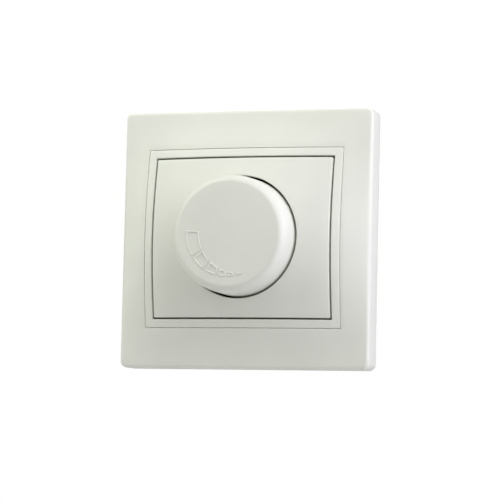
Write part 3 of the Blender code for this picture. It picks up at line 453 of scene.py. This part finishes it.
def make_cover():
    """The centre plate with its round hole, the collar around the hole and the snap legs."""
    rim_corner, least_corner, skirt_corner = 0.45, 0.15, 0.3
    rim_round, hole_round, skirt_wall = 0.3, 0.35, 1.5

    def rim(inset):
        return rounded_rectangle(COVER[0] - inset, COVER[1] - inset,
                                 max(least_corner, rim_corner - inset))

    def ring(grow):
        return [p.normalized() * (HOLE_RADIUS + grow) for p in rim(0.0)]

    rear = LEDGE_FRONT - SEAT_GAP
    skirt = rounded_rectangle(COVER[0] - skirt_wall, COVER[1] - skirt_wall, skirt_corner)
    collar = ring(COLLAR_WALL)
    loops = [at_depth(rim(0.0), rear)] + edge_round(rim, rim_round, steps=4)
    loops += [on_dome(between(rim(rim_round), ring(hole_round), t))
              for t in (0.1, 0.25, 0.4, 0.55, 0.7, 0.85)]
    loops += edge_round(ring, hole_round, steps=4)[::-1]
    loops += [at_depth(ring(0.0), COLLAR_REAR), at_depth(collar, COLLAR_REAR), on_dome(collar, SKIN)]
    loops += [on_dome(between(collar, skirt, t), SKIN) for t in (0.33, 0.66, 1.0)]
    loops.append(at_depth(skirt, rear))
    shape = bmesh.new()
    loft(shape, loops)
    add_snap_legs(shape)
    # its finish is the ivory made darker as painted shade
    settle(add_object("cover_plate", shape), "ivory_plastic", WALL, "centre_plate",
           finish="cover_plastic")


# ---- the knob ----------------------------------------------------------------------------------
def on_circle(angle):
    """Unit vector at an angle in degrees."""
    return Vector((math.cos(math.radians(angle)), math.sin(math.radians(angle))))


def crescent_reach(angle):
    """Distance from the knob's axis to the inner circle of the crescent scale."""
    along = MARK_INNER_CENTRE.dot(on_circle(angle))
    return along + math.sqrt(along ** 2 + MARK_INNER_RADIUS ** 2
                             - MARK_INNER_CENTRE.length_squared)


def field_loop(start, end, line, steps=18):
    """Points around one field of the crescent, drawn in by a line width; angles in degrees."""
    margin = math.degrees(line / MARK_RADIUS)
    angles = [start + margin + (end - start - 2.0 * margin) * i / steps for i in range(steps + 1)]
    return ([(MARK_RADIUS - line) * on_circle(a) for a in angles]
            + [(crescent_reach(a) + line) * on_circle(a) for a in reversed(angles)])


def raised_line(shape, outside, inside):
    """A soft raised line between two closed outlines on the knob's face.

    Its section is given as (share of the line's width, y).
    """
    root, top = KNOB_FACE + MARK_ROOT, KNOB_FACE - MARK_HEIGHT
    shoulder = top + 0.05
    section = ((0.0, root), (0.0, KNOB_FACE), (0.14, shoulder), (0.32, top),
               (0.68, top), (0.86, shoulder), (1.0, KNOB_FACE), (1.0, root))
    loft(shape, [at_depth(between(outside, inside, t), y) for t, y in section])


def knob_profile():
    """(radius, y) points: up the bore, around the hub, inside the wall, then over the outside."""
    rounding, steps = KNOB_TOP - KNOB_FACE_RADIUS, 14
    shoulder, under = KNOB_FACE + KNOB_EDGE_DEPTH, KNOB_FACE + KNOB_WALL
    bore, bore_end, hub, hub_rear, hub_break = 3.3, -23.9, 5.6, -13.6, 0.2
    roof, fillet, wall_front, wall_rear, rim, rim_break = 15.0, 1.2, 16.2, 16.6, 16.8, (0.2, 0.25)
    face_rings = (14.5, 8.0)            # they keep the shading of the flat face even
    inner = [(0.0, bore_end), (bore, bore_end), (bore, hub_rear), (hub - hub_break, hub_rear),
             (hub, hub_rear - hub_break), (hub, under), (roof, under), (wall_front, under + fillet),
             (wall_rear, KNOB_REAR), (rim, KNOB_REAR)]
    outer = [(KNOB_BASE - rim_break[0], KNOB_REAR), (KNOB_BASE, KNOB_REAR - rim_break[1])]
    outer += [(KNOB_BASE + (KNOB_TOP - KNOB_BASE) * t, KNOB_REAR + (shoulder - KNOB_REAR) * t)
              for t in (0.35, 0.7, 1.0)]
    for step in range(1, steps + 1):
        angle = math.pi / 2.0 * step / steps
        outer.append((KNOB_FACE_RADIUS + rounding * math.cos(angle),
                      shoulder - KNOB_EDGE_DEPTH * math.sin(angle)))
    return inner + outer + [(radius, KNOB_FACE) for radius in (*face_rings, 0.0)]


def make_knob():
    """The turning knob with the fields and the last dash of its crescent scale."""
    shape = bmesh.new()
    revolve(shape, knob_profile(), segments=160)
    for start, end in MARK_SPANS:
        raised_line(shape, field_loop(start, end, 0.0), field_loop(start, end, MARK_LINE))
    foot, crest = field_loop(*MARK_DASH, 0.0), field_loop(*MARK_DASH, 0.2 * MARK_LINE)
    loft(shape, [at_depth(foot, KNOB_FACE + MARK_ROOT), at_depth(foot, KNOB_FACE),
                 at_depth(crest, KNOB_FACE - MARK_HEIGHT)], closed=False)
    piece = add_object("knob_shell", shape, smooth_angle=40.0)
    # the knob's finish is the ivory made slightly darker as painted shade
    settle(piece, "knob_plastic", "dial", "dimmer_knob")


# ---- what is behind the front ------------------------------------------------------------------
WELD = 0.001                            # corners closer than this, in millimetres, are one
FLAT_ANGLE, SHARP_ANGLE, SHADE_ANGLE = 0.5, 30.0, 40.0                      # degrees


def sharp_edges(shape, shortest):
    """The edges of a bmesh in metres that are sharp and at least so many millimetres long."""
    return [edge for edge in shape.edges if len(edge.link_faces) == 2
            and edge.calc_length() >= shortest * MM
            and edge.calc_face_angle(0.0) > math.radians(SHARP_ANGLE)]


def round_edges(piece, shortest, width, clamp):
    """Round the piece's sharp edges that are at least so long."""
    shape = bmesh.new()
    shape.from_mesh(piece.data)
    bmesh.ops.remove_doubles(shape, verts=shape.verts, dist=WELD * MM)
    bmesh.ops.dissolve_limit(shape, angle_limit=math.radians(FLAT_ANGLE), verts=shape.verts,
                             edges=shape.edges)
    bmesh.ops.bevel(shape, geom=sharp_edges(shape, shortest), offset=width * MM, segments=3,
                    profile=0.5, affect="EDGES", clamp_overlap=clamp)
    shape.to_mesh(piece.data)
    shape.free()


def cutter(loops):
    """A closed cutting tool from point loops in millimetres."""
    shape = bmesh.new()
    loft(shape, loops, closed=False)
    return add_object("cutter", shape)


def carve(piece, tools):
    """Cut the tools out of the piece, which stays at the origin, and drop them."""
    for tool in tools:
        step = piece.modifiers.new("cut", "BOOLEAN")
        step.object = tool
        graph = bpy.context.evaluated_depsgraph_get()
        carved = bpy.data.meshes.new_from_object(piece.evaluated_get(graph))
        piece.modifiers.remove(step)
        piece.data = carved
        bpy.data.objects.remove(tool)


def refined(node, name, slot, body, fine, wide=None, tools=()):
    """A copy of a CAD solid, with rounded edges and with the tools cut out of it.

    wide and fine are (shortest edge, width): the long outer edges are rounded before the tools
    cut, and all the others after it.
    """
    piece = bpy.data.objects.new(name, frame["nodes"][node].data.copy())
    bpy.context.scene.collection.objects.link(piece)
    if wide:
        round_edges(piece, *wide, clamp=False)
    carve(piece, tools)
    round_edges(piece, *fine, clamp=True)
    piece.data.shade_smooth()
    piece.data.set_sharp_from_angle(angle=math.radians(SHADE_ANGLE))
    flat = piece.modifiers.new("flat_faces", "WEIGHTED_NORMAL")
    flat.keep_sharp = True
    settle(piece, slot, body, node)


def block(x, y, z, taper=0.0):
    """Loops of a block along Y from (low, high) pairs, its far end narrowed by the taper."""
    corners = ((0, 0), (1, 0), (1, 1), (0, 1))
    loops = []
    for depth, inset in ((y[0], 0.0), (y[1], taper)):
        spans = ((x[0] + inset, x[1] - inset), (z[0] + inset, z[1] - inset))
        loops.append([Vector((spans[0][i], depth, spans[1][k])) for i, k in corners])
    return loops


def disc(radius, y, at, segments=32):
    """Loops of a disc along Y between two depths, at an (x, z) place."""
    outline = [Vector(at) + radius * on_circle(360.0 * i / segments) for i in range(segments)]
    return [at_depth(outline, depth) for depth in y]


def upright_loop(x, radius, z, segments=48):
    """A circle around one terminal screw's upright axis."""
    points = [radius * on_circle(360.0 * i / segments) for i in range(segments)]
    return [Vector((x + p.x, TERMINAL_Y + p.y, z)) for p in points]


def rear_tools(rear):
    """What is moulded into the rear of the case: funnels, dots, a panel and ejector marks."""
    funnel_half, funnel_z, funnel_depth, funnel_taper = 2.3, (-13.2, -8.4), 0.9, 0.9
    dot_radius, dot_pitch, dot_z, dot_depth = 0.5, 1.8, -6.2, 0.3
    panel_half, panel_corner, panel_z, panel_depth = (11.0, 6.0), 1.0, 6.5, 0.25
    mark_radius, mark_x, mark_z, mark_depth = 1.4, 15.2, 15.6, 0.15
    outside = rear + OVERCUT
    tools = [cutter(block((x - funnel_half, x + funnel_half),
                          (rear + TAPER_OVERCUT, rear - funnel_depth), funnel_z, funnel_taper))
             for x in TERMINAL_X]
    for count, x in enumerate(TERMINAL_X, start=1):
        first = x - dot_pitch * (count - 1) / 2.0
        tools += [cutter(disc(dot_radius, (outside, rear - dot_depth),
                              (first + dot_pitch * i, dot_z))) for i in range(count)]
    panel = [p + Vector((0.0, panel_z))
             for p in rounded_rectangle(*panel_half, panel_corner, corner_steps=4, side_steps=2)]
    tools.append(cutter([at_depth(panel, outside), at_depth(panel, rear - panel_depth)]))
    tools += [cutter(disc(mark_radius, (outside, rear - mark_depth),
                          (side_x * mark_x, side_z * mark_z)))
              for side_x in (-1, 1) for side_z in (-1, 1)]
    return tools


def driver_tools(bottom):
    """The holes below the case through which the terminal screws are turned."""
    mouth, bore, funnel_depth, depth = 3.3, 2.5, 0.2, 1.9
    return [cutter([upright_loop(x, mouth, bottom - TAPER_OVERCUT),
                    upright_loop(x, bore, bottom + funnel_depth),
                    upright_loop(x, bore, bottom + depth)]) for x in TERMINAL_X]


def vent_tools(top):
    """The row of grooves across the top of the case."""
    count, pitch, half_width, depth, y = 6, 2.6, 0.6, 0.7, (6.5, 19.5)
    places = [pitch * (i - (count - 1) / 2.0) for i in range(count)]
    return [cutter(block((x - half_width, x + half_width), y, (top - depth, top + depth)))
            for x in places]


def make_case():
    """The two halves of the mechanism case, rounded more along their long edges."""
    far_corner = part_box("housing_base")[1] / MM
    rear, top = far_corner.y, far_corner.z
    tools = rear_tools(rear) + driver_tools(-top) + vent_tools(top)
    rounds = {"fine": (3.0, 0.15), "wide": (8.0, 0.6)}
    refined("housing_base", "case_base", "dark_plastic", WALL, **rounds, tools=tools)
    refined("housing_cover", "case_cover", "dark_plastic", WALL, **rounds)


# Screws: (radius, height) of the head, radius of the shank, and the kind, reach, thickness and
# depth of the driver's blade.
CLAW_SCREW = ((2.8, 1.9), 1.45, ("cross", 3.4, 0.55, 1.1))
COVER_SCREW = ((2.6, 1.9), 1.35, ("cross", 3.2, 0.5, 1.1))
TERMINAL_SCREW = ((2.2, 1.6), 1.25, ("slot", 5.0, 0.7, 0.8))


def screw_rows(head, shank, length):
    """(radius, distance along the screw, depth of the thread's groove) from head to tip."""
    radius, height = head
    crown, head_break, fillet, plain = 0.45, (0.12, 0.15), 0.25, 0.6
    tip_break, tip_share = (0.25, 0.3), 0.6
    rows = [(radius * math.sin(math.radians(a)) ** 0.5,
             height * crown * (1.0 - math.cos(math.radians(a))), 0.0) for a in (20, 40, 60, 80, 90)]
    rows += [(radius, height - head_break[1], 0.0), (radius - head_break[0], height, 0.0),
             (shank + fillet, height, 0.0), (shank, height + fillet, 0.0)]
    run_in, run_out = height + plain, length - plain
    count = int((run_out - run_in) / THREAD_PITCH * THREAD_STEPS)
    for i in range(count + 1):
        fade = min(1.0, i / THREAD_STEPS, (count - i) / THREAD_STEPS)
        rows.append((shank, run_in + (run_out - run_in) * i / count, THREAD_DEPTH * fade))
    return rows + [(shank - tip_break[0], length - tip_break[1], 0.0),
                   (shank * tip_share, length, 0.0)]


def screw_loop(radius, z, groove, segments=24):
    """Points around a screw along Z, with the groove of its right-hand thread."""
    points = []
    for k in range(segments):
        phase = (z / THREAD_PITCH - k / segments) % 1.0
        reach = radius - groove * (1.0 - abs(2.0 * phase - 1.0))
        flat = reach * on_circle(360.0 * k / segments)
        points.append(Vector((flat.x, flat.y, z)))
    return points


def drive_loops(kind, reach, thickness, depth):
    """Loops of the blades that cut a screw's cross or slot, narrower at their foot."""
    start, foot_reach, foot_thickness = -0.3, 0.6, 0.84
    corners = ((-1, -1), (1, -1), (1, 1), (-1, 1))
    blades = [(reach, thickness)] + ([(thickness, reach)] if kind == "cross" else [])
    return [[[Vector((sx * wide / 2.0, sy * narrow / 2.0, start)) for sx, sy in corners],
             [Vector((sx * foot_reach * wide / 2.0, sy * foot_thickness * narrow / 2.0, depth))
              for sx, sy in corners]] for wide, narrow in blades]


def make_screw(node, slot, body, axis, head, shank, drive):
    """A machine screw in its CAD node's place, with a driver recess and a right-hand thread."""
    low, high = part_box(node)
    along = "XYZ".index(axis)
    place = (low + high) / 2.0 / MM
    place[along] = low[along] / MM
    turn = {"Y": Matrix(((1, 0, 0), (0, 0, 1), (0, -1, 0))), "Z": Matrix.Identity(3)}[axis]

    def placed(loops):
        return [[turn @ point + place for point in loop] for loop in loops]

    shape = bmesh.new()
    rows = screw_rows(head, shank, (high - low)[along] / MM)
    loft(shape, placed([screw_loop(*row) for row in rows]), closed=False)
    piece = add_object(f"threaded_{node}", shape, smooth_angle=50.0)
    carve(piece, [cutter(placed(loops)) for loops in drive_loops(*drive)])
    settle(piece, slot, body, node)


def make_fittings():
    """The strap, the claws and their nuts, the terminal cages and all the screws."""
    refined("mounting_strap", "strap_sheet", "zinc_steel", WALL, fine=(2.5, 0.22))
    for word in ("left", "right"):
        refined(f"claw_{word}", f"spreader_{word}", "yellow_zinc", f"{word}_claw", fine=(2.0, 0.16))
        refined(f"claw_nut_{word}", f"square_nut_{word}", "yellow_zinc", f"{word}_claw_nut",
                fine=(1.8, 0.3))
        make_screw(f"claw_screw_{word}", "yellow_zinc", f"{word}_claw_screw", "Y", *CLAW_SCREW)
    for number in (1, 2, 3, 4):
        make_screw(f"cover_screw_{number}", "zinc_steel", WALL, "Y", *COVER_SCREW)
    for number in (1, 2, 3):
        refined(f"terminal_cage_{number}", f"cage_{number}", "brass", f"terminal_{number}_cage",
                fine=(2.0, 0.2))
        make_screw(f"terminal_screw_{number}", "zinc_steel", f"terminal_{number}_screw", "Z",
                   *TERMINAL_SCREW)


def finish_cad_nodes():
    """Give each CAD node its slot's material."""
    slots = {entry["node"]: entry["material_slot"] for entry in frame["record"]["subparts"]}
    for name, node in frame["nodes"].items():
        node.data.materials.clear()
        node.data.materials.append(look(slots[name]))


# ---- light, floor and camera -------------------------------------------------------------------
WHITE, WARM, COOL = (1.0, 1.0, 1.0), (0.965, 1.0, 0.89), (1.0, 1.0, 1.20)
AMBIENT, PAPER = 0.30, 1.0              # strength of the room's light, and of what the camera sees
KEY, FILL, BACK = (0.35, 0.25), (0.80, 0.55), (0.90, 0.60)      # distance and size, in metres
LIGHTS = (                              # name, azimuth, elevation, distance and size, watts, colour
    ("upper_left", -60.0, 45.0, KEY, 0.43, WARM),
    ("above", 0.0, 62.0, KEY, 0.09, WHITE),
    ("upper_right", 50.0, 45.0, KEY, 0.42, WHITE),
    ("fill_left", -68.0, 12.0, FILL, 1.50, WARM),
    ("fill_right", 55.0, 12.0, FILL, 1.48, WHITE),
    ("side", 95.0, 12.0, FILL, 2.5, COOL),
    ("rear", 200.0, 35.0, BACK, 3.0, WHITE),
)
FLOOR_DROP, FLOOR_HALF = 320.0, 6000.0                          # in millimetres
FLOOR_DARK, FLOOR_PALE, FLOOR_GLOW = (0.80, 0.80, 0.79), (0.83, 0.83, 0.82), 0.6


def direction(azimuth, elevation):
    """Unit vector towards a place at an azimuth right of the viewer's axis and an elevation."""
    turn, rise = math.radians(azimuth), math.radians(elevation)
    return Vector((math.sin(turn) * math.cos(rise), -math.cos(turn) * math.cos(rise),
                   math.sin(rise)))


def soft_light(name, azimuth, elevation, distance_and_size, power, colour):
    """A round softbox that is aimed at the middle of the wall plate."""
    distance, size = distance_and_size
    data = bpy.data.lights.new(name, "AREA")
    data.shape = "DISK"
    data.size = size
    data.energy = power
    data.color = colour
    lamp = bpy.data.objects.new(name, data)
    lamp.location = direction(azimuth, elevation) * distance
    lamp.rotation_euler = (-lamp.location).to_track_quat("-Z", "Y").to_euler()
    bpy.context.scene.collection.objects.link(lamp)


def make_stage():
    """A pale floor well below the object; part of its brightness is seen by the camera only."""
    shape = bmesh.new()
    bmesh.ops.create_grid(shape, x_segments=8, y_segments=8, size=FLOOR_HALF)
    bmesh.ops.translate(shape, vec=(0.0, 0.0, -FLOOR_DROP), verts=shape.verts)
    floor = add_object("floor", shape)
    nodes = Nodes("floor_paint")
    clouds = nodes.remap(nodes.noise(scale=6.0, detail=2.0), 0.0, 1.0)
    paint = nodes.mix(clouds, FLOOR_DARK, FLOOR_PALE)
    nodes.link(paint, nodes.shader.inputs["Base Color"])
    nodes.link(paint, nodes.shader.inputs["Emission Color"])
    seen = nodes.add("ShaderNodeMath", operation="MULTIPLY")
    seen.inputs[1].default_value = FLOOR_GLOW
    nodes.link(nodes.add("ShaderNodeLightPath").outputs["Is Camera Ray"], seen.inputs[0])
    nodes.link(seen.outputs["Value"], nodes.shader.inputs["Emission Strength"])
    nodes.shader.inputs["Roughness"].default_value = 0.8
    floor.data.materials.append(nodes.material)


def make_light():
    """Even light all round, a white background to the camera, and the softboxes."""
    world = bpy.data.worlds.new("studio")
    bpy.context.scene.world = world
    world.use_nodes = True
    tree = world.node_tree
    ambient = tree.nodes["Background"]
    ambient.inputs["Color"].default_value = (*WHITE, 1.0)
    ambient.inputs["Strength"].default_value = AMBIENT
    paper = tree.nodes.new("ShaderNodeBackground")
    paper.inputs["Color"].default_value = (*WHITE, 1.0)
    paper.inputs["Strength"].default_value = PAPER
    rays = tree.nodes.new("ShaderNodeLightPath")
    choose = tree.nodes.new("ShaderNodeMixShader")
    tree.links.new(rays.outputs["Is Camera Ray"], choose.inputs["Fac"])
    tree.links.new(ambient.outputs["Background"], choose.inputs[1])
    tree.links.new(paper.outputs["Background"], choose.inputs[2])
    tree.links.new(choose.outputs["Shader"], tree.nodes["World Output"].inputs["Surface"])
    for light in LIGHTS:
        soft_light(*light)


def make_camera():
    """A long lens, right of the knob's axis and a little below it, with a slight roll."""
    azimuth, elevation, roll = 17.66, -5.24, math.radians(1.35)
    distance, sensor_width, focal_length = 0.725, 36.0, 165.5
    target = Vector((-1.14, 0.0, -2.69)) * MM
    away = direction(azimuth, elevation)
    right = (-away).cross(Vector((0.0, 0.0, 1.0))).normalized()
    up = right.cross(-away)
    tilted_right = math.cos(roll) * right + math.sin(roll) * up
    tilted_up = -math.sin(roll) * right + math.cos(roll) * up
    data = bpy.data.cameras.new("camera")
    data.sensor_width = sensor_width
    data.lens = focal_length
    data.clip_start, data.clip_end = 0.05, 50.0
    camera = bpy.data.objects.new("camera", data)
    camera.matrix_world = Matrix.Translation(target + away * distance) @ Matrix(
        (tilted_right, tilted_up, away)).transposed().to_4x4()
    bpy.context.scene.collection.objects.link(camera)
    bpy.context.scene.camera = camera


bpy.context.scene.view_settings.view_transform = "Standard"
make_camera()
make_stage()
make_light()
make_frame()
make_trim()
make_cover()
make_knob()
make_case()
make_fittings()
finish_cad_nodes()
